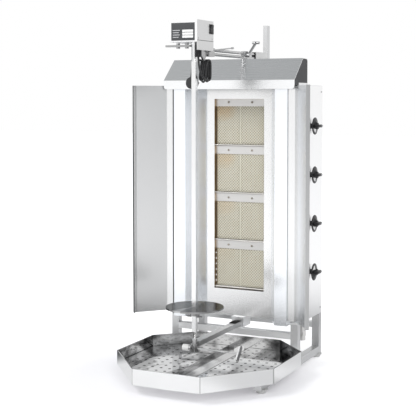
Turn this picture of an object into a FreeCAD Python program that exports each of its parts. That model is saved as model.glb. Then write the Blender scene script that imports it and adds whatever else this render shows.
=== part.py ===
"""Gas doner kebab grill: cabinet with four ceramic burners, upright spit, motor carriage and fat tray.

Millimetres. +Z up, +Y towards the back, +X towards the gas knobs. The origin is on the floor, under the
middle of the whole machine.
"""
import FreeCAD, Part
import math
import os

V = FreeCAD.Vector

# General fits and sheet
sheet = 1.5                 # stainless sheet of all panels
run_gap = 0.05              # radial clearance of a shaft in its bore
slide_gap = 0.3             # clearance between bodies that slide or swing past each other
hex_sides = 6               # sides of nuts and of the drain holes

# Cabinet
burner_y = 161.5            # front plane of the burner frame
cabinet_depth = 185.0       # burner plane to the back
cabinet_half = 230.0        # half width over the side panels
cabinet_height = 781.0
side_reach = 46.0           # side panels in front of the burner plane
vent_half = 60.0
vent_height = 4.0
vent_pitch = 20.0
vent_rise = 60.0            # lowest slots above the cabinet bottom
vent_count = 8

# Base
foot_height = 13.0
foot_radius = 25.0
foot_disc = 7.0
foot_stem_radius = 6.0
foot_bevel = 3.5            # height of the disc's straight edge
foot_crown_radius = 9.6
front_foot_y = -163.5
rear_foot_inset = 20.0      # in front of the cabinet's back
tube_size = 25.0
tube_wall = 2.0
post_height = 114.0
skid_front_y = -190.5
rail_height = 20.0
rail_drop = 29.8            # top of the cross rails below the cabinet

# Burner frame, reflectors and wings
frame_half = 118.0
opening_half = 91.0
opening_low = 91.0          # above the cabinet bottom
opening_drop = 45.0         # below the cabinet top
opening_return = 12.0
reflector_depth = 81.0
flange_width = 42.8         # flat strip along the reflector's outer edge
return_width = 25.8         # from the flange to the side panel
wing_tab = 4.3              # the wing's edge outside the flange
wing_bend_reach = 0.7       # the wing's bend outside the side panel
wing_length = 119.5
wing_angle = 42.4           # outward from straight ahead
wing_lip = 13.0
wing_low = 17.0             # above the cabinet bottom
wing_drop = 1.0             # below the cabinet top
pivot_inset = 10.5          # inside the side panel's outer face
pivot_back = 8.0            # behind the reflector flange
pivot_radius = 4.0
knuckle_height = 3.0
lug_height = 4.0
pin_reach = 9.0
upper_knuckle_drop = 15.0

# Hood and flue liner
hood_overhang = 4.0         # beyond the side panels
hood_front = 97.0           # in front of the burner plane
hood_low = -13.0            # from the cabinet top
hood_strip = 29.0
hood_height = 87.0
hood_slope_back = 19.0      # end of the slope, in front of the burner plane
hood_back = 22.0            # end of the flat top, behind the burner plane
hood_corner = 10.0
liner_back = 38.0
liner_corner = 8.0
lip_height = 7.0

# Burners
burner_count = 4
header_height = 27.0
header_drop = 2.0           # strip's top above the opening's edge
header_ear = 10.0           # beyond the opening's folded edge
header_thickness = 3.0
header_screw_half = 43.0
screw_radius = 4.0
screw_head = 2.0
tile_space = 6.25           # from a tile's lower edge to the next header strip
tile_side_gap = 1.0         # tile to the opening's side
tile_thickness = 12.0
tile_joint = 1.0
tile_border = 5.0
tile_relief = 1.2
tile_lap = 4.0              # tile behind the header strip
pan_depth = 34.0
pan_taper = 18.0
mixer_radius = 15.0
mixer_left = -60.0
mixer_gap = 48.0            # from the mixing tube's mouth to the side panel
mixer_bore = 10.0
mixer_mouth = 30.0
flame_rod_radius = 2.5
flame_rod_drop = 3.0        # below the lower edge of the tiles
flame_rod_inset = 5.0       # in front of the opening's folded edge

# Gas line and knobs
knob_y = 75.0               # behind the burner plane
knob_drop = 135.0           # highest knob below the cabinet top
knob_rise = 157.9           # lowest knob above the cabinet bottom
manifold_y = 40.0
manifold_inset = 16.0       # inside the side panel's outer face
manifold_radius = 10.0
inlet_radius = 11.0
inlet_drop = 68.0           # inlet mouth below the cabinet bottom
inlet_bore = 7.0
inlet_nut_radius = 13.2
inlet_nut = 15.0
valve_width = 22.0
valve_depth = 26.0
valve_height = 30.0
valve_boss_radius = 7.0
stem_radius = 4.0
knob_gap = 11.0             # knob disc in front of the side panel
stem_reach = 20.0
injector_radius = 5.0
knob_radius = 29.0
knob_rim = 3.0
knob_neck = 13.0
knob_flare = 9.0
knob_step = 2.0             # the neck's straight length
flare_steps = 4
knob_depth = 27.0
grip_width = 13.0
grip_radius = 22.0

# Fat tray and inserts
tray_width = 540.0
tray_front_y = -371.5
tray_back_y = 166.5
tray_front_cut_x = 157.0
tray_front_cut_y = 181.0
tray_post_gap = 4.0         # between the tray's rear corner cut and the front posts
tray_height = 46.0
tray_fall = 4.0             # the floor's fall to the middle crease
tray_hem = 8.0
tray_hem_wall = 3.0
insert_inner = 40.0
insert_wall_gap = 3.0
insert_rise = 5.0           # insert above the tray floor
insert_sheet = 1.5
hole_radius = 4.0
hole_pitch_x = 30.0
hole_pitch_y = 32.7
hole_first_x = 8.5          # first column from the inner edge
hole_edge = 9.0             # least distance of a hole's centre from the edge

# Spit
spit_y = -176.5
spit_size = 14.0
spit_low = 169.0
spit_drop = 44.0            # spit's top below the motor base
tip_length = 23.0
tip_radius = 3.0
tip_reach = 9.0
plate_radius = 90.0
plate_z = 244.0
plate_sheet = 3.0
plate_rim = 5.0
plate_hub_radius = 15.0
plate_hub_height = 25.0
support_pin_radius = 3.0
support_pin_half = 25.0
coupling_mouth_radius = 10.15
coupling_radius = 9.2
coupling_height = 38.0
coupling_neck = 12.0
drive_shaft_radius = 4.0
slot_floor_radius = 5.0
slot_width = 5.0
slot_height = 15.0

# Lower carriage
arm_half = 12.5
arm_height = 15.0
arm_length = 400.0
hub_radius = 12.0
hub_low = 107.0
hub_height = 23.0
cup_radius = 8.5
cup_height = 16.0
lock_drop = 14.0            # lock shaft below the hub's top
lock_radius = 3.0
lock_right = 147.0
lock_disc_radius = 8.0
lock_disc_left = -19.5
lock_disc_length = 7.0
lock_knob_radius = 10.0
lock_knob_length = 20.0
lever_width = 18.0
lever_thickness = 5.0
lever_length = 50.0
lever_corner = 5.4
lever_tilt = 40.0
guide_front = 10.0          # arm guide in front of the burner plane
guide_length = 60.0
guide_half = 22.0
guide_floor = 4.0

# Column and upper guide
rod_x = 17.5
rod_radius = 5.0
rod_hood_gap = 1.5          # lower rod above the hood
rod_spacing = 13.0
rod_front_y = -123.5
rod_back_y = 289.5
column_x = 10.0
column_width = 15.0
column_depth = 25.0
column_drop = 373.0         # column's foot below the cabinet top
column_rise = 210.0         # column's head above the cabinet top
column_bracket_half = 30.0
column_bracket_height = 40.0
block_x = 9.0
block_width = 17.0
block_front_y = 247.5
block_below = 10.5          # below the lower rod's axis
block_above = 8.5           # above the upper rod's axis
bush_length = 4.0
bush_border = 2.0

# Motor carriage
motor_half = 47.5
motor_front_y = -254.5
motor_back_y = -141.5
motor_rise = 18.5           # motor base above the upper rod's axis
motor_lip = 5.0
motor_box_height = 66.0
skirt_height = 24.0
bearing_radius = 11.0
bearing_height = 5.7
gearbox_half = 30.0
gearbox_height = 30.0
motor_radius = 22.0
motor_height = 28.0
plate_x = 12.0
plate_width = 6.0
bracket_flange = 3.0
gusset_front_y = -178.5
gusset_back_y = -116.5
gusset_tip_y = -144.5
gusset_tip_drop = 54.0      # below the motor base
gusset_shoulder_drop = 24.0
carriage_back_y = -83.5
carriage_below = 7.5        # below the lower rod's axis
carriage_above = 6.5        # above the upper rod's axis
yoke_front_y = 153.5
yoke_back_y = 176.5
pivot_rise = 7.0            # above the lower rod's axis
pivot_y = 166.5
pivot_pin_radius = 2.0
lever_x = 31.0
clamp_radius = 4.5
clamp_boss_radius = 7.0
yoke_inset = 1.0            # yoke's side inside the lever's round
clamp_run_y = 66.0
clamp_run_z = 44.0
grip_length = 25.0
pull_rod_x = 28.5
pull_rod_radius = 2.2
pull_start_y = -123.5
pull_start_rise = 10.5      # above the lower rod's axis
pull_end_y = 48.5
pull_end_rise = 25.5
pull_eye_radius = 4.0
pull_cap_radius = 3.5
pull_cap_length = 12.0
handle_left = -96.0
handle_right = -13.0
handle_depth = 16.0
handle_height = 6.0
bolt_radius = 4.0
bolt_head_radius = 6.5
bolt_head = 5.0
bolt_places = (-56.0, -26.0)
rocker_rise = 41.5          # its middle above the motor base
rocker_half_width = 9.0
rocker_half_height = 12.0
rocker_bezel = 2.5
rocker_proud = 1.0          # face in front of the bezel, at the hinge's height
rocker_edge = 2.0           # set-back of the rocker's upper and lower edges inside the wall
rocker_tilt = 8.0

# Mains cord
cord_radius = 3.1
gland_x = 20.0
gland_y = -190.5
gland_drop = 43.0           # its mouth below the motor base
gland_radius = 10.0
gland_seal_radius = 8.0
gland_seal = 3.0
gland_nut_radius = 11.0
gland_nut = 14.0
hank_x = 17.6
hank_y = -111.5
hank_drop = 68.9            # its lowest centre line below the gland's mouth
hank_radius = 13.0
hank_run = 36.0
hank_loops = 5
hank_step = 7.3
hank_near = 40              # points along the cord that count as next to each other
lead_run = 4.0              # straight end of the lead at the hank
lead_sides = 4
tail_sides = 3
tail_turn_radius = 24.0
plug_x = -22.0
plug_radius = 18.5
plug_thickness = 20.0
relief_length = 24.0
relief_radius = 5.5
relief_end_radius = 4.0
relief_sink = 2.0           # cone's base inside the plug's disc
pin_radius = 2.4
pin_length = 19.0
pin_half = 9.5

# Heights and depths that follow from the sizes above
skid_low = foot_height
skid_high = skid_low + tube_size
cabinet_low = skid_high + post_height
cabinet_high = cabinet_low + cabinet_height
back_y = burner_y + cabinet_depth
side_front_y = burner_y - side_reach
flange_y = burner_y - reflector_depth
rail_high = cabinet_low - rail_drop
tray_half = tray_width / 2
tray_low = skid_high + slide_gap + tray_fall * (1 - (cabinet_half - tube_size) / tray_half)
flange_half = cabinet_half - return_width
reflector_half = flange_half - flange_width
window_low = cabinet_low + opening_low
window_high = cabinet_high - opening_drop
burner_pitch = (window_high - window_low) / burner_count
first_header = window_high - header_height + header_drop
tile_height = burner_pitch + tile_lap - header_height - tile_space
mixer_right = cabinet_half - mixer_gap
manifold_x = cabinet_half - manifold_inset
valve_y = burner_y + knob_y
knob_x = cabinet_half + knob_gap
first_knob = cabinet_high - knob_drop
knob_pitch = (cabinet_height - knob_drop - knob_rise) / (burner_count - 1)
wing_height = cabinet_height - wing_low - wing_drop
pivot_half = cabinet_half - pivot_inset
eye_y = flange_y + pivot_back
hood_half = cabinet_half + hood_overhang
lower_rod_z = cabinet_high + hood_height + rod_hood_gap + rod_radius
upper_rod_z = lower_rod_z + rod_spacing
motor_low = upper_rod_z + motor_rise
motor_high = motor_low + motor_box_height
spit_high = motor_low - spit_drop
gland_low = motor_low - gland_drop
hank_low = gland_low - hank_drop
near = 0.01                 # how close two places are that count as the same


def box(x0, x1, y0, y1, z0, z1):
    return Part.makeBox(x1 - x0, y1 - y0, z1 - z0, V(x0, y0, z0))


def rod(x, y, z, radius, length, axis):
    return Part.makeCylinder(radius, length, V(x, y, z), axis)


def ring(x, y, z, outer, inner, length, axis):
    return rod(x, y, z, outer, length, axis).cut(rod(x, y, z, inner, length, axis))


def face(points):
    return Part.Face(Part.makePolygon(points + [points[0]]))


def upright(outline, low, high):
    """Prism of a plan outline of (x, y) points."""
    return face([V(x, y, low) for x, y in outline]).extrude(V(0, 0, high - low))


def crosswise(outline, left, right):
    """Prism of a side outline of (y, z) points."""
    return face([V(left, y, z) for y, z in outline]).extrude(V(right - left, 0, 0))


def lengthwise(outline, front, back):
    """Prism of a front outline of (x, z) points."""
    return face([V(x, front, z) for x, z in outline]).extrude(V(0, back - front, 0))


def bent(line, thickness):
    """Closed outline of a bent sheet: the line, and the same line moved to its left, mitred at each bend."""
    moved = []
    for i, (a, b) in enumerate(line):
        sides = []
        for start, end in ((i - 1, i), (i, i + 1)):
            if start >= 0 and end < len(line):
                da = line[end][0] - line[start][0]
                db = line[end][1] - line[start][1]
                size = math.hypot(da, db)
                sides.append((-db / size, da / size))
        na = sum(side[0] for side in sides) / len(sides)
        nb = sum(side[1] for side in sides) / len(sides)
        scale = thickness / (na * na + nb * nb)
        moved.append((a + na * scale, b + nb * scale))
    return line + moved[::-1]


def turned(profile, origin, axis):
    """Solid of revolution of (radius, height) points about an axis through the origin."""
    side = V(0, 0, 1) if abs(axis.z) < 0.5 else V(1, 0, 0)
    points = [origin + side * radius + axis * height for radius, height in profile]
    return face(points).revolve(origin, axis, 360)


def nut(x, y, z, radius, height, axis):
    """Hexagonal prism with its corners at the radius."""
    side = V(0, 0, 1) if abs(axis.z) < 0.5 else V(1, 0, 0)
    other = axis.cross(side)
    corners = []
    for i in range(hex_sides):
        angle = 2 * math.pi * i / hex_sides
        corners.append(V(x, y, z) + side * (radius * math.cos(angle)) + other * (radius * math.sin(angle)))
    return face(corners).extrude(axis * height)


def mirrored(shape):
    return shape.mirror(V(0, 0, 0), V(1, 0, 0))


def fused(shapes):
    return shapes[0].fuse(shapes[1:]).removeSplitter()


def save(name, *solids):
    """Write one node. It holds one solid, or several separate ones of the same kind."""
    solids = [solid for shape in solids for solid in shape.Solids]
    shape = solids[0] if len(solids) == 1 else Part.makeCompound(solids)
    if not shape.isValid():
        raise ValueError(name + " isn't a valid solid")
    shape.exportStep("parts/" + name + ".step")


X, Y, Z = V(1, 0, 0), V(0, 1, 0), V(0, 0, 1)
os.makedirs("parts", exist_ok=True)


# Base: two welded side frames, two cross rails and four levelling feet
def square_tube(x0, x1, y0, y1, z0, z1, along):
    outer = box(x0, x1, y0, y1, z0, z1)
    w = [tube_wall, tube_wall, tube_wall]
    w[along] = 0
    return outer.cut(box(x0 + w[0], x1 - w[0], y0 + w[1], y1 - w[1], z0 + w[2], z1 - w[2]))


def side_frame():
    inner = cabinet_half - tube_size
    skid = square_tube(inner, cabinet_half, skid_front_y, back_y, skid_low, skid_high, 1)
    posts = [square_tube(inner, cabinet_half, y, y + tube_size, skid_high, cabinet_low, 2)
             for y in (side_front_y, back_y - tube_size)]
    cap = box(inner, cabinet_half, skid_front_y - tube_wall, skid_front_y, skid_low, skid_high)
    return fused([skid, cap] + posts)


def cross_rail(y):
    half = cabinet_half - tube_size
    return square_tube(-half, half, y, y + tube_size, rail_high - rail_height, rail_high, 0)


def foot(x, y):
    profile = [(0, 0), (foot_radius, 0), (foot_radius, foot_bevel), (foot_crown_radius, foot_disc),
               (foot_stem_radius, foot_disc), (foot_stem_radius, foot_height), (0, foot_height)]
    return turned(profile, V(x, y, 0), Z)


save("base_frame_right", side_frame())
save("base_frame_left", mirrored(side_frame()))
save("cross_rails", cross_rail(side_front_y), cross_rail(back_y - tube_size))
foot_x = cabinet_half - tube_size / 2
rear_foot_y = back_y - rear_foot_inset
save("levelling_feet", *[foot(x, y) for x in (-foot_x, foot_x) for y in (front_foot_y, rear_foot_y)])


# Fat tray: eight-sided, folded from sheet, with a hemmed rim and a floor that falls to the middle
def tray_outline(inset):
    """Plan of the tray, moved in by the inset on every side."""
    half = tray_half - inset
    front = tray_front_y + inset
    back = tray_back_y - inset
    slant = tray_front_cut_y * tray_half - tray_front_cut_x * (tray_front_y + tray_front_cut_y)
    slant -= inset * math.hypot(tray_front_cut_x, tray_front_cut_y)
    front_x = (slant + tray_front_cut_x * front) / tray_front_cut_y
    side_y = (tray_front_cut_y * half - slant) / tray_front_cut_x
    rear_sum = side_front_y + cabinet_half - tube_size - tray_post_gap - inset * math.sqrt(2)
    rear = [(half, rear_sum - half), (rear_sum - back, back)]
    right = [(front_x, front), (half, side_y)] + rear
    return right + [(-x, y) for x, y in right[::-1]]


def above_floor(rise):
    """Everything above the tray floor, raised by the given height."""
    low = tray_low + rise
    high = tray_low + 2 * tray_height
    crease = (0, low - tray_fall)
    outline = [(-tray_half, low), crease, (tray_half, low), (tray_half, high), (-tray_half, high)]
    return lengthwise(outline, tray_front_y, tray_back_y)


floor_low = tray_low - tray_fall
rim_z = tray_low + tray_height
tray = upright(tray_outline(0), floor_low, rim_z).common(above_floor(0))
tray = tray.cut(upright(tray_outline(sheet), floor_low, rim_z - tray_hem).common(above_floor(sheet)))
tray = tray.cut(upright(tray_outline(tray_hem_wall), rim_z - tray_hem, rim_z))
save("fat_tray", tray)


def floor_at(x):
    """Height of the tray floor's upper face."""
    return tray_low + sheet - tray_fall * (1 - abs(x) / tray_half)


def inside(outline, x, y, margin):
    """Whether a point lies in a convex outline by at least the margin."""
    for (ax, ay), (bx, by) in zip(outline, outline[1:] + outline[:1]):
        size = math.hypot(bx - ax, by - ay)
        if ((bx - ax) * (y - ay) - (by - ay) * (x - ax)) / size < margin:
            return False
    return True


def tray_insert():
    """Right insert: half the tray's plan, folded down at its straight edges, with staggered drain holes."""
    plan = tray_outline(sheet + insert_wall_gap)
    right = [point for point in plan if point[0] > insert_inner]
    outline = [(insert_inner, right[0][1])] + right + [(insert_inner, right[-1][1])]
    low = tray_low + sheet + insert_rise
    plate = upright(outline, low, low + insert_sheet)
    outer = right[1][0]
    folds = [(insert_inner, insert_inner + insert_sheet, right[0][1], right[-1][1]),
             (outer - insert_sheet, outer, right[1][1], right[2][1])]
    legs = [box(x0, x1, y0, y1, floor_at(x1) + slide_gap, low) for x0, x1, y0, y1 in folds]
    holes = []
    columns = int((outer - insert_inner) / hole_pitch_x) + 1
    rows = int((tray_back_y - tray_front_y) / hole_pitch_y) + 1
    for i in range(columns):
        for j in range(rows):
            x = insert_inner + hole_first_x + i * hole_pitch_x
            y = right[0][1] + hole_edge + j * hole_pitch_y
            if inside(outline, x, y, hole_edge):
                holes.append(nut(x, y, low, hole_radius, insert_sheet, Z))
    return fused([plate.cut(Part.makeCompound(holes))] + legs)


insert = tray_insert()
save("insert_right", insert)
save("insert_left", mirrored(insert))


# Cabinet panels
def floor_plan():
    """Plan of the bottom and top panels, inside the panels that stand round them."""
    inner = cabinet_half - sheet
    front = side_front_y + sheet
    flange = flange_y + sheet
    return_x = flange_half - sheet
    right = [(inner, back_y - sheet), (inner, front), (return_x, front), (return_x, flange),
             (reflector_half + sheet, flange), (frame_half + sheet, burner_y + sheet)]
    return right + [(-x, y) for x, y in right[::-1]]


floor_panel = upright(floor_plan(), cabinet_low, cabinet_low + sheet)
pipe_hole = rod(manifold_x, burner_y + manifold_y, cabinet_low, manifold_radius + slide_gap, sheet, Z)
save("bottom_panel", floor_panel.cut(pipe_hole))
lips = box(cabinet_half - sheet, cabinet_half, side_front_y, burner_y + liner_back, cabinet_high - sheet,
           cabinet_high + lip_height)
top = upright(floor_plan(), cabinet_high - sheet, cabinet_high)
save("top_panel", fused([top, lips, mirrored(lips)]))

panel_high = cabinet_high - sheet
back_half = cabinet_half - sheet
back = box(-back_half, back_half, back_y - sheet, back_y, cabinet_low + sheet, panel_high)
vents = []
for i in range(vent_count):
    low = cabinet_low + vent_rise + i * vent_pitch
    for left in (-cabinet_half / 2 - vent_half, cabinet_half / 2 - vent_half):
        vents.append(box(left, left + 2 * vent_half, back_y - sheet, back_y, low, low + vent_height))
save("back_panel", back.cut(Part.makeCompound(vents)))

side_line = [(flange_half, side_front_y), (cabinet_half, side_front_y), (cabinet_half, back_y)]
side = upright(bent(side_line, sheet), cabinet_low, panel_high)
valve_panel = side
for i in range(burner_count):
    knob_z = first_knob - i * knob_pitch
    hole = rod(cabinet_half - sheet, valve_y, knob_z, valve_boss_radius + slide_gap, sheet, X)
    valve_panel = valve_panel.cut(hole)
save("side_panel_right", valve_panel)
save("side_panel_left", mirrored(side))

# Burner frame with its folded-in opening, and the angled reflectors beside it
frame = box(-frame_half, frame_half, burner_y, burner_y + sheet, cabinet_low, cabinet_high - sheet)
collar = box(-opening_half - sheet, opening_half + sheet, burner_y, burner_y + opening_return,
             window_low - sheet, window_high + sheet)
window = box(-opening_half, opening_half, burner_y, burner_y + opening_return, window_low, window_high)
save("burner_frame", fused([frame, collar]).cut(window))

reflector_line = [(flange_half, side_front_y), (flange_half, flange_y), (reflector_half, flange_y),
                  (frame_half, burner_y)]
reflector = upright(bent(reflector_line[::-1], sheet), cabinet_low, panel_high)
save("reflector_right", reflector)
save("reflector_left", mirrored(reflector))


# Hood: a bent cover over the cabinet top, with a dark liner that shows at its ends
def hood_line():
    low = cabinet_high + hood_low
    high = cabinet_high + hood_height
    front = burner_y - hood_front
    slope_high = (burner_y - hood_slope_back, high)
    return [(front, low), (front, low + hood_strip), slope_high, (burner_y + hood_back, high)]


cover = crosswise(bent(hood_line(), -sheet), -hood_half, hood_half)
hood_edge_z = cabinet_high + hood_low
corners = [edge for edge in cover.Edges if edge.Length < 2 * sheet
           and all(abs(abs(v.X) - hood_half) + abs(v.Z - hood_edge_z) < near for v in edge.Vertexes)]
save("hood", cover.makeFillet(hood_corner, corners))

front_points = bent(hood_line(), -sheet)[4:][::-1]
liner_half = cabinet_half - sheet
slope_start = (front_points[1][0] + slide_gap, cabinet_high)
liner_high = cabinet_high + hood_height - sheet - slide_gap
top_front = (front_points[2][0] + slide_gap, liner_high)
liner_y = burner_y + liner_back
fold = (slope_start[0], front_points[1][1] - slide_gap)
outer_outline = [slope_start, fold, top_front, (liner_y, liner_high), (liner_y, cabinet_high)]
liner = crosswise(outer_outline, -liner_half, liner_half)
rear_edges = [edge for edge in liner.Edges
              if all(abs(v.Y - liner_y) + abs(v.Z - liner_high) < near for v in edge.Vertexes)]
liner = liner.makeFillet(liner_corner, rear_edges)
inner_outline = [(y + sheet if y < burner_y else y - sheet, z - sheet if z > cabinet_high + near else z)
                 for y, z in outer_outline]
inner = crosswise(inner_outline, -liner_half + sheet, liner_half - sheet)
save("flue_liner", liner.cut(inner))

# Burners: pan with mixing tube, two tiles, header strip with two screws, and a flame rod
strip_y = burner_y + opening_return
tiles_y = strip_y + header_thickness
header_half = opening_half + sheet + header_ear
tiles_half = opening_half - tile_side_gap
housings, tiles, headers, flame_rods = [], [], [], []
for i in range(burner_count):
    top_z = first_header - i * burner_pitch
    tile_high = top_z + tile_lap
    low_z = tile_high - tile_height
    pan_y = tiles_y + tile_thickness
    wires = []
    for y, inset in ((pan_y, 0), (pan_y + pan_depth, pan_taper)):
        x = tiles_half - inset
        z0 = low_z + inset
        z1 = tile_high - inset
        corners = [V(-x, y, z0), V(x, y, z0), V(x, y, z1), V(-x, y, z1)]
        wires.append(Part.makePolygon(corners + corners[:1]))
    pan = Part.makeLoft(wires, True, True)
    knob_z = first_knob - i * knob_pitch
    mixer = rod(mixer_left, valve_y, knob_z, mixer_radius, mixer_right - mixer_left, X)
    mouth = rod(mixer_right - mixer_mouth, valve_y, knob_z, mixer_bore, mixer_mouth, X)
    housings.append(fused([pan, mixer]).cut(mouth))
    for side in (-1, 1):
        x0, x1 = sorted((side * tile_joint / 2, side * tiles_half))
        body = box(x0, x1, tiles_y, pan_y, low_z, tile_high)
        field = box(x0 + tile_border, x1 - tile_border, tiles_y - tile_relief, tiles_y, low_z + tile_border,
                    top_z - tile_border)
        tiles.append(fused([body, field]))
    strip = box(-header_half, header_half, strip_y, tiles_y, top_z, top_z + header_height)
    heads = []
    for x in (-header_screw_half, header_screw_half):
        middle = top_z + header_height / 2
        heads.append(rod(x, strip_y - screw_head, middle, screw_radius, screw_head + header_thickness, Y))
    headers.append(fused([strip] + heads))
    flame_rods.append(rod(-opening_half, strip_y - flame_rod_inset, low_z - flame_rod_drop, flame_rod_radius,
                          2 * opening_half, X))
save("burner_housings", *housings)
save("burner_tiles", *tiles)
save("burner_headers", *headers)
save("flame_rods", *flame_rods)

# Gas line: manifold with inlet union, and four valves with their injectors
manifold_low = cabinet_low - inlet_drop
manifold_high = first_knob + valve_height
pipe_y = burner_y + manifold_y
pipe = rod(manifold_x, pipe_y, manifold_low, manifold_radius, manifold_high - manifold_low, Z)
union = nut(manifold_x, pipe_y, manifold_low + inlet_nut, inlet_nut_radius, inlet_nut, Z)
collar = rod(manifold_x, pipe_y, manifold_low, inlet_radius, 3 * inlet_nut, Z)
mouth = rod(manifold_x, pipe_y, manifold_low, inlet_bore, 2 * inlet_nut, Z)
nipples = []
valves = []
for i in range(burner_count):
    z = first_knob - i * knob_pitch
    body_y = valve_y - valve_depth / 2
    nipples.append(rod(manifold_x, pipe_y, z, injector_radius, body_y - pipe_y, Y))
    body = box(manifold_x - valve_width / 2, manifold_x + valve_width / 2, body_y, body_y + valve_depth,
               z - valve_height / 2, z + valve_height / 2)
    boss = rod(manifold_x, valve_y, z, valve_boss_radius, knob_x - slide_gap - manifold_x, X)
    stem = rod(manifold_x, valve_y, z, stem_radius, knob_x + stem_reach - manifold_x, X)
    injector_left = mixer_right - inlet_nut
    injector = rod(injector_left, valve_y, z, injector_radius, manifold_x - injector_left, X)
    valves.append(fused([body, boss, stem, injector]))
save("gas_manifold", fused([pipe, union, collar] + nipples).cut(mouth))
save("gas_valves", *valves)


# Knobs: a rim, a skirt that flares in to the neck, and a bar grip with rounded ends
def knob(z):
    end = knob_x + knob_depth
    flare = knob_x + knob_rim + knob_flare
    profile = [(0, knob_x), (knob_radius, knob_x), (knob_radius, knob_x + knob_rim)]
    for i in range(1, flare_steps + 1):
        angle = math.pi / 2 * i / flare_steps
        profile.append((knob_neck + (knob_radius - knob_neck) * (1 - math.sin(angle)),
                        knob_x + knob_rim + knob_flare * (1 - math.cos(angle))))
    profile += [(knob_neck, flare + knob_step), (0, flare + knob_step)]
    skirt = turned(profile, V(0, valve_y, z), X)
    bar = box(knob_x + knob_rim, end, valve_y - grip_width / 2, valve_y + grip_width / 2,
              z - grip_radius, z + grip_radius)
    ends = rod(knob_x, valve_y, z, grip_radius, knob_depth, X)
    bore = rod(knob_x, valve_y, z, stem_radius + run_gap, stem_reach + slide_gap, X)
    return fused([skirt, bar.common(ends)]).cut(bore)


for i in range(burner_count):
    save("knob_" + str(i + 1), knob(first_knob - i * knob_pitch))


# Wings: swinging side shields on two pins each
def wing():
    bend = (cabinet_half + wing_bend_reach, flange_y)
    angle = math.radians(wing_angle)
    tip = (bend[0] + wing_length * math.sin(angle), bend[1] - wing_length * math.cos(angle))
    lip = (tip[0] - wing_lip * math.cos(angle), tip[1] - wing_lip * math.sin(angle))
    line = [(flange_half + wing_tab, flange_y), bend, tip, lip]
    low = cabinet_low + wing_low
    panel = upright(bent(line, sheet), low, low + wing_height)
    pieces = [panel]
    for z in (low, low + wing_height - upper_knuckle_drop):
        eye = rod(pivot_half, eye_y, z, 2 * pivot_radius, knuckle_height, Z)
        left = pivot_half - 2 * pivot_radius
        web = box(left, left + 4 * pivot_radius, flange_y + sheet / 2, eye_y, z, z + knuckle_height)
        pieces += [eye, web]
    shape = fused(pieces)
    return shape.cut(rod(pivot_half, eye_y, low, pivot_radius + run_gap, wing_height, Z))


def wing_pivot(z, way):
    """Lug on the side panel's front with a pin that points up (1) or down (-1) into the wing's eye."""
    low = z - slide_gap - lug_height if way > 0 else z + knuckle_height + slide_gap
    lug = box(pivot_half - 1.5 * pivot_radius, pivot_half + 1.5 * pivot_radius, eye_y, side_front_y, low,
              low + lug_height)
    end = rod(pivot_half, eye_y, low, 1.5 * pivot_radius, lug_height, Z)
    reach = lug_height + pin_reach
    pin = rod(pivot_half, eye_y, low if way > 0 else low + lug_height - reach, pivot_radius, reach, Z)
    return fused([lug, end, pin])


shield = wing()
save("wing_right", shield)
save("wing_left", mirrored(shield))
eye_low = cabinet_low + wing_low
pivots = [wing_pivot(eye_low, 1), wing_pivot(eye_low + wing_height - upper_knuckle_drop, -1)]
save("wing_pivots", *(pivots + [mirrored(pivot) for pivot in pivots]))

# Spit: square bar with a turned tip, meat plate on a cross pin, and the drive coupling on top
half = spit_size / 2
cup_high = hub_low + hub_height + cup_height
bar = box(-half, half, spit_y - half, spit_y + half, spit_low, spit_high)
tip_profile = [(0, spit_low), (half, spit_low), (tip_radius, cup_high), (tip_radius, cup_high - tip_reach),
               (0, cup_high - tip_reach)]
tip = turned([(r, z - spit_low) for r, z in tip_profile], V(0, spit_y, spit_low), Z)
pin_z = plate_z - plate_hub_height - support_pin_radius
pin_bore = rod(-half, spit_y, pin_z, support_pin_radius, spit_size, X)
save("spit_bar", fused([bar, tip]).cut(pin_bore))
save("support_pin", rod(-support_pin_half, spit_y, pin_z, support_pin_radius, 2 * support_pin_half, X))
square = box(-half, half, spit_y - half, spit_y + half, plate_z - plate_hub_height, plate_z + plate_sheet)
plate_profile = [(0, -plate_hub_height), (plate_hub_radius, -plate_hub_height), (plate_hub_radius, 0),
                 (plate_radius - sheet, 0), (plate_radius - sheet, plate_sheet - plate_rim),
                 (plate_radius, plate_sheet - plate_rim), (plate_radius, plate_sheet), (0, plate_sheet)]
save("meat_plate", turned(plate_profile, V(0, spit_y, plate_z), Z).cut(square))
neck_low = spit_high - coupling_neck
shaft_high = motor_low + sheet
coupling_end = coupling_neck + coupling_height
shaft_end = shaft_high - neck_low
coupling_profile = [(0, 0), (coupling_mouth_radius, 0), (coupling_radius, coupling_neck),
                    (coupling_radius, coupling_end), (drive_shaft_radius, coupling_end),
                    (drive_shaft_radius, shaft_end), (0, shaft_end)]
coupling = turned(coupling_profile, V(0, spit_y, neck_low), Z)
coupling = coupling.cut(box(-half, half, spit_y - half, spit_y + half, neck_low, spit_high))
slot_high = neck_low + coupling_end
slot_cut = box(0, coupling_radius, spit_y - slot_width / 2, spit_y + slot_width / 2, slot_high - slot_height,
               slot_high)
keep = rod(0, spit_y, neck_low, slot_floor_radius, slot_high - neck_low, Z)
save("drive_coupling", coupling.cut(slot_cut.cut(keep)))

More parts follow.
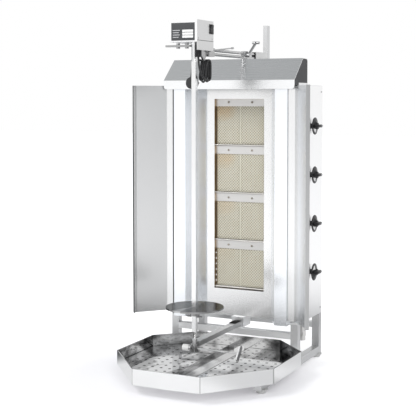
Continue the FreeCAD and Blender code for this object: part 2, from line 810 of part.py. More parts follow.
# Lower carriage: arm, bearing hub with its cup, and the lock shaft with knob and lever
hub_high = hub_low + hub_height
arm_low = rail_high + slide_gap
cup = rod(0, spit_y, hub_high, cup_radius, cup_height, Z)
bearing = fused([rod(0, spit_y, hub_low, hub_radius, hub_height, Z), cup])
cup_floor = cup_high - tip_reach - slide_gap
bearing = bearing.cut(rod(0, spit_y, cup_floor, tip_radius + run_gap, cup_high - cup_floor, Z))
lock_z = hub_high - lock_drop
bearing = bearing.cut(rod(-hub_radius, spit_y, lock_z, lock_radius + run_gap, 2 * hub_radius, X))
save("bearing_hub", bearing)
arm = box(-arm_half, arm_half, spit_y, spit_y + arm_length, arm_low, arm_low + arm_height)
arm = arm.cut(rod(0, spit_y, arm_low, hub_radius, hub_high - arm_low, Z))
arm = arm.cut(box(-arm_half, arm_half, spit_y, spit_y + cup_radius, arm_low, arm_low + arm_height))
save("lower_arm", arm)
save("lock_shaft", fused([
    rod(lock_disc_left, spit_y, lock_z, lock_radius, lock_right - lock_disc_left, X),
    rod(lock_disc_left, spit_y, lock_z, lock_disc_radius, lock_disc_length, X)]))
knob_left = lock_disc_left - lock_knob_length
save("lock_knob", rod(knob_left, spit_y, lock_z, lock_knob_radius, lock_knob_length, X))
lever = box(lock_right, lock_right + lever_thickness, spit_y - lever_width / 2, spit_y + lever_width / 2,
            lock_z - lever_length / 2, lock_z + lever_length / 2)
lever_corners = [edge for edge in lever.Edges if abs(edge.Vertexes[0].X - edge.Vertexes[-1].X) > near]
lever = lever.makeFillet(lever_corner, lever_corners)
lever.rotate(V(lock_right, spit_y, lock_z), X, -lever_tilt)
save("lock_lever", lever)
guide_front_y = burner_y - guide_front
guide_back_y = guide_front_y + guide_length
slide_half = arm_half + slide_gap
guide = box(-guide_half, guide_half, guide_front_y, guide_back_y, arm_low - guide_floor, cabinet_low)
slide = box(-slide_half, slide_half, guide_front_y, guide_back_y, arm_low - slide_gap,
            arm_low + arm_height + slide_gap)
save("arm_guide", guide.cut(slide))

# Column on the cabinet's back, with the block that guides the two rods
column_low = cabinet_high - column_drop
column_high = cabinet_high + column_rise
column = box(column_x, column_x + column_width, back_y, back_y + column_depth, column_low, column_high)
feet = []
for z in (column_low + column_bracket_height, cabinet_high - 2 * column_bracket_height):
    feet.append(box(column_x - column_bracket_half, column_x + column_width + column_bracket_half, back_y,
                    back_y + 2 * sheet, z, z + column_bracket_height))
save("column", fused([column] + feet))
rods_z = (lower_rod_z, upper_rod_z)
block_low = lower_rod_z - block_below
block_high = upper_rod_z + block_above
bush_front_y = block_front_y - bush_length
guide_bores = [rod(rod_x, bush_front_y, z, rod_radius + run_gap, back_y - bush_front_y, Y) for z in rods_z]
block = box(block_x, block_x + block_width, block_front_y, back_y, block_low, block_high)
save("guide_block", block.cut(guide_bores[0]).cut(guide_bores[1]))
bush = box(block_x + bush_border, block_x + block_width - bush_border, bush_front_y, block_front_y,
           block_low + bush_border, block_high - bush_border)
save("guide_bush", bush.cut(guide_bores[0]).cut(guide_bores[1]))

# Upper carriage: rods, bracket, motor base and cover, gear motor, switch
rods = [rod(rod_x, rod_front_y, z, rod_radius, rod_back_y - rod_front_y, Y) for z in rods_z]
save("guide_rods", *rods)
carriage_high = upper_rod_z + carriage_above
shoulder_z = motor_low - gusset_shoulder_drop
gusset_tip = (gusset_tip_y, motor_low - gusset_tip_drop)
gusset_outline = [(gusset_front_y, motor_low), (gusset_front_y, shoulder_z), gusset_tip,
                  (gusset_back_y, shoulder_z), (carriage_back_y, carriage_high), (carriage_back_y, motor_low)]
gusset = crosswise(gusset_outline, plate_x, plate_x + plate_width)
head_left = rod_x - rod_radius - bush_border
head_right = rod_x + rod_radius + bush_border
head = box(head_left, head_right, rod_front_y, carriage_back_y, lower_rod_z - carriage_below, carriage_high)
flange = box(plate_x, head_right, gusset_front_y, motor_back_y, motor_low - bracket_flange, motor_low)
save("carriage_bracket", fused([gusset, head, flange]).cut(rods[0]).cut(rods[1]))
yoke_right = lever_x - clamp_radius - yoke_inset
yoke_high = upper_rod_z + rod_radius + bush_border
yoke = box(head_left, yoke_right, yoke_front_y, yoke_back_y, lower_rod_z, yoke_high)
yoke = yoke.cut(rods[0]).cut(rods[1])
lever_left = yoke_right + slide_gap
pin_left = lever_left - clamp_radius
start = V(lever_x, pivot_y, lower_rod_z + pivot_rise)
socket_left = pin_left - slide_gap
yoke = yoke.cut(rod(socket_left, start.y, start.z, pivot_pin_radius + run_gap, yoke_right - socket_left, X))
save("clamp_yoke", yoke)
run = V(0, clamp_run_y, clamp_run_z)
stick = Part.makeCylinder(clamp_radius, run.Length, start, run)
boss = rod(lever_left, start.y, start.z, clamp_boss_radius, 2 * (lever_x - lever_left), X)
axle = rod(pin_left, start.y, start.z, pivot_pin_radius, lever_x - pin_left, X)
top = start + run
head = rod(lever_x - grip_length / 2, top.y, top.z, clamp_radius, grip_length, X)
save("clamp_lever", fused([stick, boss, axle, head]))
start = V(pull_rod_x, pull_start_y, lower_rod_z + pull_start_rise)
end = V(pull_rod_x, pull_end_y, lower_rod_z + pull_end_rise)
run = end - start
thin = Part.makeCylinder(pull_rod_radius, run.Length, start, run)
cap_length = run * (pull_cap_length / run.Length)
cap = Part.makeCylinder(pull_cap_radius, pull_cap_length, end - cap_length, run)
eye_reach = pull_rod_x + bush_border - head_right
eye = rod(head_right, start.y + pull_eye_radius, start.z, pull_eye_radius, eye_reach, X)
save("pull_rod", fused([thin, cap, eye]))

def motor_box(inset, low, high):
    """Block as wide and deep as the motor box, moved in by the inset on its four sides."""
    half = motor_half - inset
    return box(-half, half, motor_front_y + inset, motor_back_y - inset, low, high)


lip_high = motor_low + motor_lip
motor_tray = motor_box(0, motor_low, lip_high).cut(motor_box(sheet, motor_low + sheet, lip_high))
skirt = box(motor_half - sheet, motor_half, motor_front_y, motor_back_y, motor_low - skirt_height, motor_low)
seat_low = motor_low - bearing_height
shaft_bore = rod(0, spit_y, seat_low, drive_shaft_radius + run_gap, bearing_height + sheet, Z)
seat = rod(0, spit_y, seat_low, bearing_radius, bearing_height, Z)
save("motor_base", fused([motor_tray, skirt, seat]).cut(shaft_bore))
shell = motor_box(0, lip_high, motor_high).cut(motor_box(sheet, lip_high, motor_high - sheet))
rocker_y = motor_back_y - rocker_half_width - 2 * rocker_bezel - sheet
rocker_z = motor_low + rocker_rise


def rocker_block(border, left, right):
    """Block as large as the rocker's pocket with a border round it."""
    half_y = rocker_half_width + border
    half_z = rocker_half_height + border
    return box(left, right, rocker_y - half_y, rocker_y + half_y, rocker_z - half_z, rocker_z + half_z)


bezel_x = motor_half + rocker_bezel
bezel = rocker_block(rocker_bezel, motor_half, bezel_x)
save("motor_cover", fused([shell, bezel]).cut(rocker_block(0, motor_half - sheet, bezel_x)))
gear_z = motor_low + sheet
can_z = gear_z + gearbox_height
gearbox = box(-gearbox_half, gearbox_half, spit_y - gearbox_half, spit_y + gearbox_half, gear_z, can_z)
motor_can = rod(0, spit_y, can_z, motor_radius, motor_height, Z)
save("gearmotor", fused([gearbox, motor_can]))

# Rocker switch: its face is two planes that meet at a shallow angle over the hinge
lean = math.tan(math.radians(rocker_tilt))
reach = rocker_half_height - slide_gap
face_x = bezel_x + rocker_proud
low_z = rocker_z - reach
high_z = rocker_z + reach
rocker_outline = [(motor_half, low_z + rocker_edge), (face_x, low_z + rocker_edge / 2),
                  (face_x - lean * reach / 2, rocker_z), (face_x + lean * reach, high_z - rocker_edge / 2),
                  (motor_half, high_z - rocker_edge)]
rocker_half = rocker_half_width - slide_gap
save("rocker_switch", lengthwise(rocker_outline, rocker_y - rocker_half, rocker_y + rocker_half))

# Pull handle: a flat bar under the motor base, with two bolts
handle_high = motor_low - bolt_head
handle = box(handle_left, handle_right, spit_y - handle_depth / 2, spit_y + handle_depth / 2,
             handle_high - handle_height, handle_high)
bolts = []
for x in bolt_places:
    bore = rod(x, spit_y, handle_high - handle_height, bolt_radius, handle_height, Z)
    handle = handle.cut(bore)
    low = handle_high - handle_height - bolt_head
    head = nut(x, spit_y, low, bolt_head_radius, bolt_head, Z)
    shank = rod(x, spit_y, low, bolt_radius, motor_low - low, Z)
    upper = nut(x, spit_y, handle_high, bolt_head_radius, bolt_head, Z)
    bolts.append(fused([head, shank, upper]))
save("handle_bar", handle)
save("handle_bolts", *bolts)


# Mains cord: gland, lead, hank, tail and plug
def tangent_route(points, diameter, name):
    """Straight runs joined by tangent arcs, each as large as its two runs allow."""
    edges = []
    radii = []
    last = points[0]
    for before, corner, after in zip(points, points[1:], points[2:]):
        a, b = before - corner, after - corner
        turn = math.pi - a.getAngle(b)
        radius = 0.45 * min(a.Length, b.Length) / math.tan(turn / 2)
        radii.append(radius)
        cut = radius * math.tan(turn / 2)
        a.normalize()
        b.normalize()
        middle = V(a + b)
        middle.normalize()
        centre = corner + middle * (radius / math.cos(turn / 2))
        start, end = corner + a * cut, corner + b * cut
        edges.append(Part.LineSegment(last, start).toShape())
        edges.append(Part.Arc(start, centre - middle * radius, end).toShape())
        last = end
    edges.append(Part.LineSegment(last, points[-1]).toShape())
    print(name, "radii in diameters:", ", ".join("%.1f" % (radius / diameter) for radius in radii))
    return Part.Wire(edges)


def swept(wire, name):
    """Round tube along a wire of lines and arcs, with its volume compared with section times length."""
    start = wire.Edges[0]
    first = start.valueAt(start.FirstParameter)
    along = start.tangentAt(start.FirstParameter)
    circle = Part.Wire(Part.Circle(first, along, cord_radius).toShape())
    tube = wire.makePipeShell([circle], True, False)
    expected = math.pi * cord_radius ** 2 * wire.Length
    print(name, "length %.0f mm, volume ratio %.4f" % (wire.Length, tube.Volume / expected))
    return tube.Solids[0]


def quarter_points(radius, sides):
    """Corners of the open polygon round a quarter circle, as (angle, distance) pairs."""
    half_turn = math.pi / 4 / sides
    return [(half_turn * (2 * i + 1), radius / math.cos(half_turn)) for i in range(sides)]


diameter = 2 * cord_radius
hank_start_y = hank_y - diameter
hank_high = hank_low + hank_run + 2 * hank_radius
lead_radius = hank_start_y - gland_y - lead_run
lead_centre = V(gland_x, gland_y + lead_radius, hank_low + lead_radius)
lead_points = [V(gland_x, gland_y, gland_low)]
for i, (angle, distance) in enumerate(quarter_points(lead_radius, lead_sides)):
    x = gland_x + (hank_x - gland_x) * i / (lead_sides - 1)
    y = lead_centre.y - distance * math.cos(angle)
    lead_points.append(V(x, y, lead_centre.z - distance * math.sin(angle)))
lead_points.append(V(hank_x, hank_start_y, hank_low))
save("cord_lead", swept(tangent_route(lead_points, diameter, "cord_lead"), "cord_lead"))


def hank_wire():
    """Upright loops side by side: each climbs to the next place along its front run, by two equal arcs."""
    edges = []
    front, back = hank_y - hank_radius, hank_y + hank_radius
    low, high = hank_low + hank_radius, hank_high - hank_radius

    def arc(x, y0, z0, y1, z1, y2, z2):
        edges.append(Part.Arc(V(x, y0, z0), V(x, y1, z1), V(x, y2, z2)).toShape())

    def line(a, b):
        edges.append(Part.LineSegment(a, b).toShape())

    r = hank_radius * math.sqrt(0.5)
    line(V(hank_x, hank_start_y, hank_low), V(hank_x, hank_y, hank_low))
    for i in range(hank_loops):
        x = hank_x - i * hank_step
        if i > 0:
            arc(x, front, low, hank_y - r, low - r, hank_y, hank_low)
        arc(x, hank_y, hank_low, hank_y + r, low - r, back, low)
        line(V(x, back, low), V(x, back, high))
        arc(x, back, high, hank_y + r, high + r, hank_y, hank_high)
        if i == hank_loops - 1:
            line(V(x, hank_y, hank_high), V(x, hank_start_y, hank_high))
            break
        arc(x, hank_y, hank_high, hank_y - r, high + r, front, high)
        middle = V(x - hank_step / 2, front, (low + high) / 2)
        bend = (hank_run ** 2 + hank_step ** 2) / (4 * hank_step)
        sweep = math.asin(hank_run / 2 / bend) / 2
        side = bend * (1 - math.cos(sweep))
        rise = bend * math.sin(sweep)
        first = V(x - side, front, high - rise)
        second = V(x - hank_step + side, front, low + rise)
        edges.append(Part.Arc(V(x, front, high), first, middle).toShape())
        edges.append(Part.Arc(middle, second, V(x - hank_step, front, low)).toShape())
    return Part.Wire(edges)


def self_gap(wire, skip):
    """Least gap of a tube to itself, measured between points on its centre line."""
    points = []
    for edge in wire.OrderedEdges:
        points += edge.discretize(Number=max(3, int(edge.Length)))[:-1]
    least = wire.Length
    for i, a in enumerate(points):
        for b in points[i + skip:]:
            least = min(least, a.distanceToPoint(b))
    return least - diameter


wire = hank_wire()
print("cord_hank least gap to itself %.2f mm" % self_gap(wire, hank_near))
save("cord_hank", swept(wire, "cord_hank"))

tail_x = hank_x - (hank_loops - 1) * hank_step
first_run = 2 * tail_turn_radius * math.tan(math.pi / 4 / tail_sides)
turn_y = hank_start_y - first_run / 2
plug_y = turn_y - tail_turn_radius
turn_z = hank_high - tail_turn_radius
tail_points = [V(tail_x, hank_start_y, hank_high)]
for i, (angle, distance) in enumerate(quarter_points(tail_turn_radius, tail_sides)):
    x = tail_x + (plug_x - tail_x) * i / (tail_sides - 1)
    tail_points.append(V(x, turn_y - distance * math.sin(angle), turn_z + distance * math.cos(angle)))
relief_high = turn_z - first_run / 2
tail_points.append(V(plug_x, plug_y, relief_high))
save("cord_tail", swept(tangent_route(tail_points, diameter, "cord_tail"), "cord_tail"))

gland_nut_z = motor_low - gland_nut
save("cable_gland", fused([
    rod(gland_x, gland_y, gland_low, gland_seal_radius, 2 * gland_seal, Z),
    rod(gland_x, gland_y, gland_low + gland_seal, gland_radius, gland_nut_z - gland_low - gland_seal, Z),
    nut(gland_x, gland_y, gland_nut_z, gland_nut_radius, gland_nut, Z)]))
plug_z = relief_high - relief_length - plug_radius + relief_sink
disc = rod(plug_x, plug_y - plug_thickness / 2, plug_z, plug_radius, plug_thickness, Y)
relief_foot = V(plug_x, plug_y, plug_z + plug_radius - relief_sink)
relief = Part.makeCone(relief_radius, relief_end_radius, relief_length, relief_foot)
pins = [rod(plug_x + side * pin_half, plug_y + plug_thickness / 2, plug_z, pin_radius, pin_length, Y)
        for side in (-1, 1)]
save("plug", fused([disc, relief] + pins))
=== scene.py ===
import math

import bmesh
import bpy
from mathutils import Matrix, Vector


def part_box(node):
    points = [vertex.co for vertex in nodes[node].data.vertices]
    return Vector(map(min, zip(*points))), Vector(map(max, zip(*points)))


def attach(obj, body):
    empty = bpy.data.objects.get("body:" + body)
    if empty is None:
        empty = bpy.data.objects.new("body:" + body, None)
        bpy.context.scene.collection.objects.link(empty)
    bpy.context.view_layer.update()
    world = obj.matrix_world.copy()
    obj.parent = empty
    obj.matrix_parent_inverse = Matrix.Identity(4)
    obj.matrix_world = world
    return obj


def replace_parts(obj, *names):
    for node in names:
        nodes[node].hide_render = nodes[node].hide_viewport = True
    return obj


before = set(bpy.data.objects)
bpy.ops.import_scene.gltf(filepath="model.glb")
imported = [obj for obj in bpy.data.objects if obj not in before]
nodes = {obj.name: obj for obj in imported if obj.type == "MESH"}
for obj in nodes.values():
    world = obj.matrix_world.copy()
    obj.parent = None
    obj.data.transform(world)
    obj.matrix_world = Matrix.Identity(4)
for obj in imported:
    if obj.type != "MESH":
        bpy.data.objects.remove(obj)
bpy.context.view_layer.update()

# Side frames and cross rails: welded 25 mm square tube of stainless steel, brushed along its length.
# They stand on four tapered plastic feet, screwed in from below, and carry the cabinet and the tray.


class Value:
    """A shader socket that takes part in sums."""

    def __init__(self, finish, socket):
        self.finish = finish
        self.socket = socket

    def calc(self, operation, first, second=0.0):
        return self.finish.add("ShaderNodeMath", {"operation": operation}, {0: first, 1: second})

    def rise(self, start, end):
        """0 up to the start, 1 from the end on."""
        return self.finish.add("ShaderNodeMapRange", {"interpolation_type": "SMOOTHSTEP"},
                               {0: self, 1: start, 2: end})

    def __add__(self, other):
        return self.calc("ADD", self, other)

    def __radd__(self, other):
        return self.calc("ADD", other, self)

    def __sub__(self, other):
        return self.calc("SUBTRACT", self, other)

    def __rsub__(self, other):
        return self.calc("SUBTRACT", other, self)

    def __mul__(self, other):
        return self.calc("MULTIPLY", self, other)

    def __rmul__(self, other):
        return self.calc("MULTIPLY", other, self)

    def __truediv__(self, other):
        return self.calc("DIVIDE", self, other)

    def __lt__(self, other):
        return self.calc("LESS_THAN", self, other)

    def __gt__(self, other):
        return self.calc("GREATER_THAN", self, other)

    def __abs__(self):
        return self.calc("ABSOLUTE", self)


class Finish:
    """A material built round one Principled shader."""

    def __init__(self, name, color, rough, metal=0.0):
        self.material = bpy.data.materials.new(name)
        self.material.use_nodes = True
        self.tree = self.material.node_tree
        self.shader = self.tree.nodes["Principled BSDF"]
        self.feed("Base Color", (*color, 1))
        self.feed("Roughness", rough)
        self.feed("Metallic", metal)
        self.place = None

    def add(self, kind, settings=None, inputs=None, output=0):
        node = self.tree.nodes.new(kind)
        for name, setting in (settings or {}).items():
            setattr(node, name, setting)
        for name, value in (inputs or {}).items():
            self.join(node.inputs[name], value)
        return Value(self, node.outputs[output])

    def join(self, socket, value):
        if isinstance(value, Value):
            self.tree.links.new(value.socket, socket)
        else:
            socket.default_value = value

    def feed(self, name, value):
        self.join(self.shader.inputs[name], value)
        return self

    def scaled(self, scale):
        """Place on the piece, in metres times the scale."""
        if self.place is None:
            self.place = self.add("ShaderNodeTexCoord", output=3)
        return self.add("ShaderNodeVectorMath", {"operation": "MULTIPLY"}, {0: self.place, 1: scale})

    def axes(self):
        """Place across, in depth and up, in metres."""
        split = self.add("ShaderNodeSeparateXYZ", None, {0: self.scaled((1, 1, 1))})
        return [Value(self, socket) for socket in split.socket.node.outputs]

    def noise(self, scale, detail=2.0):
        return self.add("ShaderNodeTexNoise", {"noise_dimensions": "3D"},
                        {"Vector": self.scaled(scale), "Scale": 1.0, "Detail": detail})

    def mix(self, amount, first, second):
        return self.add("ShaderNodeMix", {"data_type": "RGBA"},
                        {0: amount, 6: (*first, 1) if isinstance(first, tuple) else first,
                         7: (*second, 1) if isinstance(second, tuple) else second}, 2)

    def bump(self, height, strength, distance):
        self.feed("Normal", self.add("ShaderNodeBump", None,
                                     {"Strength": strength, "Distance": distance, "Height": height}))
        return self


def grey(tone, warmth=0.0):
    return (tone * (1 + warmth), tone, tone * (1 - warmth * 1.4))


def brushed(name, grain, rough=0.3):
    """Sheet brushed along the axis with the smallest grain scale, still without its tone."""
    steel = Finish(name, grey(0.8), rough, 1.0)
    steel.lines = steel.noise(grain, 3.0)
    steel.smears = steel.noise((7, 7, 5), 3.0)
    steel.feed("Roughness", rough - 0.05 + 0.1 * steel.lines + 0.05 * steel.smears)
    return steel.bump(steel.lines, 0.03, 0.0002)


def brushed_steel(name, tone, grain, rough=0.3, cloud=0.04, warmth=-0.004):
    """Brushed sheet of one tone, a little uneven from the rolling mill."""
    steel = brushed(name, grain, rough)
    bands = steel.noise(tuple(value * 0.02 for value in grain), 2.0)
    light = 0.5 * steel.lines + 0.35 * bands + 0.15 * steel.smears
    return steel.feed("Base Color", steel.mix(light, grey(tone * (1 - cloud * 2), warmth),
                                              grey(tone * (1 + cloud), warmth)))


def polished(name, rough):
    """Bright-rolled sheet with faint wipe marks and tiny scratches, still without its tone."""
    steel = Finish(name, grey(0.8), rough, 1.0)
    steel.wipes = steel.noise((14, 9, 12), 4.0)
    scratches = steel.noise((1400, 60, 60), 2.0)
    steel.feed("Roughness", rough - 0.04 + 0.08 * steel.wipes + 0.03 * scratches)
    return steel.bump(steel.wipes + 0.1 * scratches, 0.03, 0.001)


def polished_steel(name, tone, rough=0.12, warmth=0.0):
    steel = polished(name, rough)
    return steel.feed("Base Color", steel.mix(steel.wipes, grey(tone * 0.94, warmth),
                                              grey(min(1.0, tone * 1.04), warmth)))


def mottled(name, grain, detail, low, high, rough, spread=0.0, metal=0.0, bump=None):
    """Finish that wanders between two colours, and by the spread in roughness, in grains of one size."""
    finish = Finish(name, low, rough, metal)
    marks = finish.noise(grain if isinstance(grain, tuple) else (grain,) * 3, detail)
    finish.feed("Base Color", finish.mix(marks, low, high))
    if spread:
        finish.feed("Roughness", rough + spread * marks)
    if bump:
        finish.bump(marks, *bump)
    return finish


def dress(finish, *names):
    """Put the finish on CAD nodes."""
    for name in names:
        for slot in nodes[name].material_slots:
            slot.material = finish.material


# Painted shade: the side frames' tube is painted darker (0.66) than the cross rails' tube (0.86), though both
# are the same brushed steel.
dress(brushed_steel("tube_steel_shaded", 0.66, (900, 10, 900), 0.32), "base_frame_left", "base_frame_right")
dress(brushed_steel("rail_steel", 0.86, (10, 900, 900), 0.32), "cross_rails")
foot_plastic = mottled("foot_plastic", 700, 4.0, (0.64, 0.64, 0.63), (0.76, 0.76, 0.75), 0.5,
                       bump=(0.2, 0.0004))


def put(name, data):
    item = bpy.data.objects.new(name, data)
    bpy.context.scene.collection.objects.link(item)
    return item


def fitted(name, data, finish, body):
    """Object in its finish that moves with the body."""
    item = put(name, data)
    data.materials.append(finish.material)
    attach(item, body)
    return item


def piece(name, vertices, faces, finish, body):
    mesh = bpy.data.meshes.new(name)
    mesh.from_pydata([tuple(v) for v in vertices], [], faces)
    mesh.update()
    return fitted(name, mesh, finish, body)


def worked(name, work, finish, body):
    """Piece from a worked mesh."""
    mesh = bpy.data.meshes.new(name)
    work.to_mesh(mesh)
    work.free()
    return fitted(name, mesh, finish, body)


def smooth(item, angle=35):
    for polygon in item.data.polygons:
        polygon.use_smooth = True
    item.data.set_sharp_from_angle(angle=math.radians(angle))
    return item


def tidy_normals(item):
    work = bmesh.new()
    work.from_mesh(item.data)
    bmesh.ops.remove_doubles(work, verts=work.verts, dist=1e-6)
    bmesh.ops.recalc_face_normals(work, faces=work.faces)
    work.to_mesh(item.data)
    work.free()
    return item


def lathe(name, profile, origin, axis, finish, body, sides=48, angle=30):
    """Turned piece of (radius, height) points about an axis."""
    axis = Vector(axis).normalized()
    side = axis.orthogonal().normalized()
    other = axis.cross(side)
    vertices, faces = [], []
    for radius, height in profile:
        for i in range(sides):
            turn = 2 * math.pi * i / sides
            spoke = side * math.cos(turn) + other * math.sin(turn)
            vertices.append(Vector(origin) + axis * height + spoke * radius)
    for row in range(len(profile) - 1):
        for i in range(sides):
            a = row * sides + i
            b = row * sides + (i + 1) % sides
            faces.append((a, b, b + sides, a + sides))
    faces.append(tuple(range(sides))[::-1])
    faces.append(tuple(range(len(vertices) - sides, len(vertices))))
    return smooth(tidy_normals(piece(name, vertices, faces, finish, body)), angle)


foot_inset = 0.025
foot_profile = [(0.0120, 0.0), (0.0135, 0.0004), (0.0142, 0.0012), (0.0162, 0.0045), (0.0190, 0.0090),
                (0.0212, 0.0120), (0.0216, 0.0128), (0.0100, 0.0130)]
feet_low, feet_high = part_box("levelling_feet")
feet = [lathe("foot_%d" % (2 * i + j), foot_profile, (x, y, 0), (0, 0, 1), foot_plastic, "stand",
              40)
        for i, x in enumerate((feet_high.x - foot_inset, feet_low.x + foot_inset))
        for j, y in enumerate((feet_low.y + foot_inset, feet_high.y - foot_inset))]
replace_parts(feet[0], "levelling_feet")

# Fat tray: one sheet of bright steel folded to an eight-sided pan, welded at the corners.
# Its walls mirror the room, and its floor falls to a crease in the middle.
front_corner = (0.11095, -0.367)
side_front = (0.2655, -0.18882)
side_back = (0.2655, 0.04464)
back_corner = (0.14814, 0.162)
crease_front = (0.0, -0.3725)
tray_steel = polished("tray_steel", 0.09)
tray_steel.feed("Specular Tint", (0.85, 0.85, 0.85, 1))
across, depth, up = tray_steel.axes()
seam_out = 1.017            # the outer skin lies this much further out than the inserts' corners
seam_reach = 0.0035
seams = 0.0
for corner_x, corner_y in (front_corner, side_front, side_back, crease_front):
    off_x = abs(abs(across) - corner_x * seam_out)
    off_y = abs(depth - corner_y * seam_out)
    seams = (off_x + off_y < seam_reach) + seams
# The inner faces, turned to a point above the middle, carry painted reflections: dark and light blotches
# painted into the colour, standing in for what they mirror.
facing = tray_steel.add("ShaderNodeNewGeometry").socket.node.outputs["Normal"]
from_middle = tray_steel.add("ShaderNodeVectorMath", {"operation": "SUBTRACT"},
                             {0: tray_steel.place, 1: (0, -0.1, 0.5)})
inside = tray_steel.add("ShaderNodeVectorMath", {"operation": "DOT_PRODUCT"},
                        {0: Value(tray_steel, facing), 1: from_middle}, 1) < 0.0
inner_painted_light = tray_steel.mix(tray_steel.noise((9, 9, 16), 3.0).rise(0.38, 0.62), grey(0.10), grey(0.72))
# Painted shade: the floor under the inserts is painted greyer, apart from the channel between them.
under_insert_shade = tray_steel.add("ShaderNodeMapRange", None, {0: up, 1: 0.040, 2: 0.046})
inner_painted_light = tray_steel.mix(under_insert_shade, grey(0.30), inner_painted_light)
channel = (abs(across) < 0.0185) * (up < 0.05)
inner_painted_light = tray_steel.mix(channel, inner_painted_light, grey(0.86))
clean = tray_steel.mix(tray_steel.wipes, grey(0.86), grey(0.93))
tray_steel.feed("Base Color", tray_steel.mix(seams * 0.55, tray_steel.mix(inside, clean, inner_painted_light), grey(0.2)))
dress(tray_steel, "fat_tray")

# Inserts: two bright perforated sheets that lie in the tray, with round drain holes 9.4 mm wide.
# Each is punched, then folded down along its straight edges to stand clear of the fat.
hole_pitch = (0.030, 0.0327)
hole_first = (0.0085, 0.009)
hole_radius = 0.0047
hole_edge = 0.009           # least distance of a hole's centre from an edge
hole_columns, hole_rows = 8, 17
punch_depth = 0.004         # to each side of the sheet's top
insert_sheet = 0.0015
side_clearance = 0.0033     # the side fold ends this much above the inner one
insert_steel = polished("insert_steel", 0.07)
insert_steel.feed("Specular Tint", (0.8, 0.8, 0.8, 1))
# Painted reflection: the sheet's colour wanders in broad blotches between dark grey and near white, standing in
# for what it mirrors.
painted_reflections = insert_steel.noise((15, 8, 10), 2.0).rise(0.40, 0.48)
insert_steel.feed("Base Color", insert_steel.mix(painted_reflections, grey(0.52), grey(0.97)))


def applied(item):
    """Apply the modifiers of a piece for good."""
    bpy.context.view_layer.update()
    graph = bpy.context.evaluated_depsgraph_get()
    mesh = bpy.data.meshes.new_from_object(item.evaluated_get(graph))
    item.modifiers.clear()
    item.data = mesh
    return item


def round_bar(center, axis, radius, length, sides):
    """Vertices and faces of a cylinder from its first end's centre."""
    axis = Vector(axis).normalized()
    side = axis.orthogonal().normalized()
    other = axis.cross(side)
    rings = []
    for along in (0, length):
        for i in range(sides):
            angle = 2 * math.pi * i / sides
            rings.append(Vector(center) + axis * along + side * radius * math.cos(angle)
                         + other * radius * math.sin(angle))
    faces = [(i, (i + 1) % sides, sides + (i + 1) % sides, sides + i) for i in range(sides)]
    faces += [tuple(range(sides))[::-1], tuple(range(sides, 2 * sides))]
    return rings, faces


def drains_at(x, y):
    """True where the right insert has room for a hole between its slanted edges."""
    slant = (side_front[0] - front_corner[0]) / (side_front[1] - front_corner[1])
    if x > side_front[0] - hole_edge or y > back_corner[1] - hole_edge:
        return False
    if y < side_front[1] and x - side_front[0] > (y - side_front[1]) * slant - hole_edge * math.hypot(1, slant):
        return False
    return x + y <= side_back[0] + side_back[1] - hole_edge * math.sqrt(2)


def perforated_sheet(name, side, body):
    """The right insert, or its mirror image for the left: a folded blank, punched by round cutters."""
    low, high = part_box("insert_right")
    top = high.z
    front, back = front_corner[1], back_corner[1]
    outline = [(low.x, front), front_corner, side_front, side_back, back_corner, (low.x, back)]
    count = len(outline)
    vertices = [(x, y, z) for z in (top - insert_sheet, top) for x, y in outline]
    faces = [tuple(range(count))[::-1], tuple(range(count, 2 * count))]
    faces += [(i, (i + 1) % count, count + (i + 1) % count, count + i) for i in range(count)]
    for x0, x1, y0, y1, z in ((low.x, low.x + insert_sheet, front, back, low.z),
                              (side_front[0] - insert_sheet, side_front[0], side_front[1], side_back[1],
                               low.z + side_clearance)):
        base = len(vertices)
        vertices += [(x, y, level) for level in (z, top - insert_sheet) for x, y in
                     ((x0, y0), (x1, y0), (x1, y1), (x0, y1))]
        faces += [tuple(base + i for i in face) for face in
                  ((3, 2, 1, 0), (0, 1, 5, 4), (1, 2, 6, 5), (2, 3, 7, 6), (3, 0, 4, 7))]
    blank = piece(name, vertices, faces, insert_steel, body)
    cut_vertices, cut_faces = [], []
    for i in range(hole_columns):
        for j in range(hole_rows):
            x = low.x + hole_first[0] + i * hole_pitch[0]
            y = front + hole_first[1] + j * hole_pitch[1]
            if not drains_at(x, y):
                continue
            ring, sides = round_bar((x, y, top - punch_depth), (0, 0, 1), hole_radius, 2 * punch_depth, 20)
            base = len(cut_vertices)
            cut_vertices += ring
            cut_faces += [tuple(base + index for index in face) for face in sides]
    cutter = piece(name + "_punch", cut_vertices, cut_faces, insert_steel, body)
    punch = blank.modifiers.new("punch", "BOOLEAN")
    punch.operation = "DIFFERENCE"
    punch.object = cutter
    punch.solver = "EXACT"
    applied(blank)
    bpy.data.objects.remove(cutter)
    if side < 0:
        blank.data.transform(Matrix.Scale(-1, 4, (1, 0, 0)))
        blank.data.flip_normals()
    return blank


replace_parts(perforated_sheet("drain_sheet_right", 1, "insert_right"), "insert_right")
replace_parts(perforated_sheet("drain_sheet_left", -1, "insert_left"), "insert_left")

# Cabinet: folded panels of satin stainless steel, brushed upright, joined at folded edges with small screws.
# The right panel carries the gas knobs, and the back one has rows of vent slots.
panel_steel = brushed("panel_steel", (900, 900, 5), 0.28)
across, depth, up = panel_steel.axes()
# Painted shade: the strip behind the left wing's pin, deep in its gap, is painted near-black.
wing_gap_shade = (abs(across + 0.2165) < 0.0118) * (depth < 0.1175)
panel_tone = panel_steel.mix(panel_steel.lines, grey(0.86), grey(0.91))
panel_steel.feed("Base Color", panel_steel.mix(wing_gap_shade, panel_tone, grey(0.03)))
dress(panel_steel, "side_panel_left", "side_panel_right", "back_panel")
dress(brushed_steel("deck_steel", 0.80, (5, 900, 900), 0.34), "top_panel")
dress(brushed_steel("underside_steel", 0.80, (5, 900, 900), 0.4), "bottom_panel")
frame_steel = brushed("frame_steel", (900, 900, 5), 0.22)
across, depth, up = frame_steel.axes()
